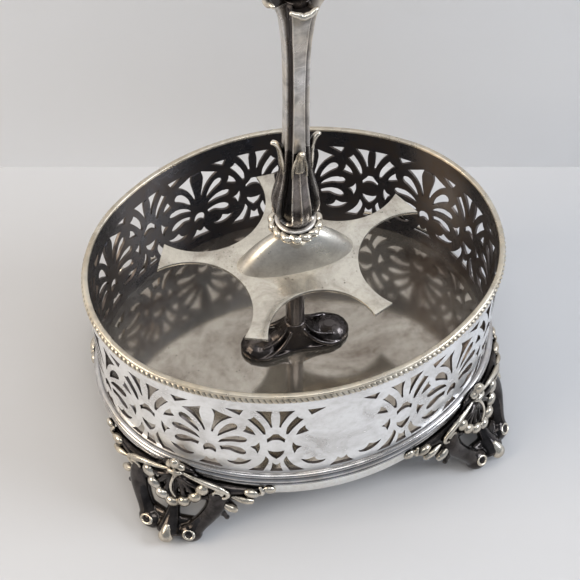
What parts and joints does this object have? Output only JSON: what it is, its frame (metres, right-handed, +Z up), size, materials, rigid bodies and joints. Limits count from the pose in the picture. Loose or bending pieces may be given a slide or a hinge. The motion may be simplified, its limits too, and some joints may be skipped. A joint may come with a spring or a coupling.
{
  "type": "cruet frame",
  "caption": "Oval silver-plated cruet frame: a pierced gallery tray on cast feet, with a pillar that carries a bottle plate and an unscrewing loop handle.",
  "frame": {"origin": "on the floor, under the middle of the oval tray", "axes": "+Z up; +X along the tray's long axis; the plain cartouche at the front faces -Y"},
  "size_m": [0.1838, 0.1482, 0.292],
  "materials": {
    "tray_silver": "worn silver plate, mirror with brown tarnish blotches",
    "wall_silver": "pierced silver plate, bright outside and blackened inside",
    "rim_silver": "cream-toned silver plate, rubbed bright",
    "moulding_silver": "silver plate with dark lines between the reeds",
    "skirt_silver": "bright silver plate",
    "foot_silver": "cast silver plate, dark in the hollows",
    "pillar_silver": "cast silver plate, almost black with tarnish",
    "plate_silver": "satin silver plate with fine pits",
    "handle_silver": "cast silver plate, dark in the flutes",
    "nut_brass": "brass, dull",
    "bush_brass": "brass"
  },
  "bodies": {
    "base": {"tray_floor": "tray_silver", "gallery": "wall_silver", "rim_binding": "rim_silver", "rim_rope": "rim_silver", "lower_moulding": "moulding_silver", "skirt_band": "skirt_silver", "foot_front_left": "foot_silver", "foot_front_right": "foot_silver", "foot_back_left": "foot_silver", "foot_back_right": "foot_silver", "pedestal": "pillar_silver", "pillar_rod": "pillar_silver", "rod_washer": "nut_brass", "rod_nut": "nut_brass"},
    "plate": {"bottle_plate": "plate_silver", "plate_boss": "plate_silver"},
    "collar": {"handle_collar": "handle_silver"},
    "handle": {"handle_ring": "handle_silver", "handle_bulb": "handle_silver", "handle_stem": "handle_silver", "handle_crown": "handle_silver", "handle_bush": "bush_brass", "loop_grip": "handle_silver"}
  },
  "joints": [
    {"name": "plate_swivel", "type": "hinge", "parent": "base", "child": "plate", "pos_m": [0, 0, 0.095], "axis": [0, 0, 1], "continuous": true},
    {"name": "handle_unscrew", "type": "hinge", "parent": "base", "child": "collar", "pos_m": [0, 0, 0.116], "axis": [0, 0, 1], "range_deg": [0, 2880]},
    {"name": "handle_rise", "type": "slide", "parent": "collar", "child": "handle", "axis": [0, 0, 1], "range_m": [0, 0.01018]}
  ],
  "couplings": [
    {"joint": "handle_rise", "follows": "handle_unscrew", "m_per_rad": 0.00020213}
  ]
}
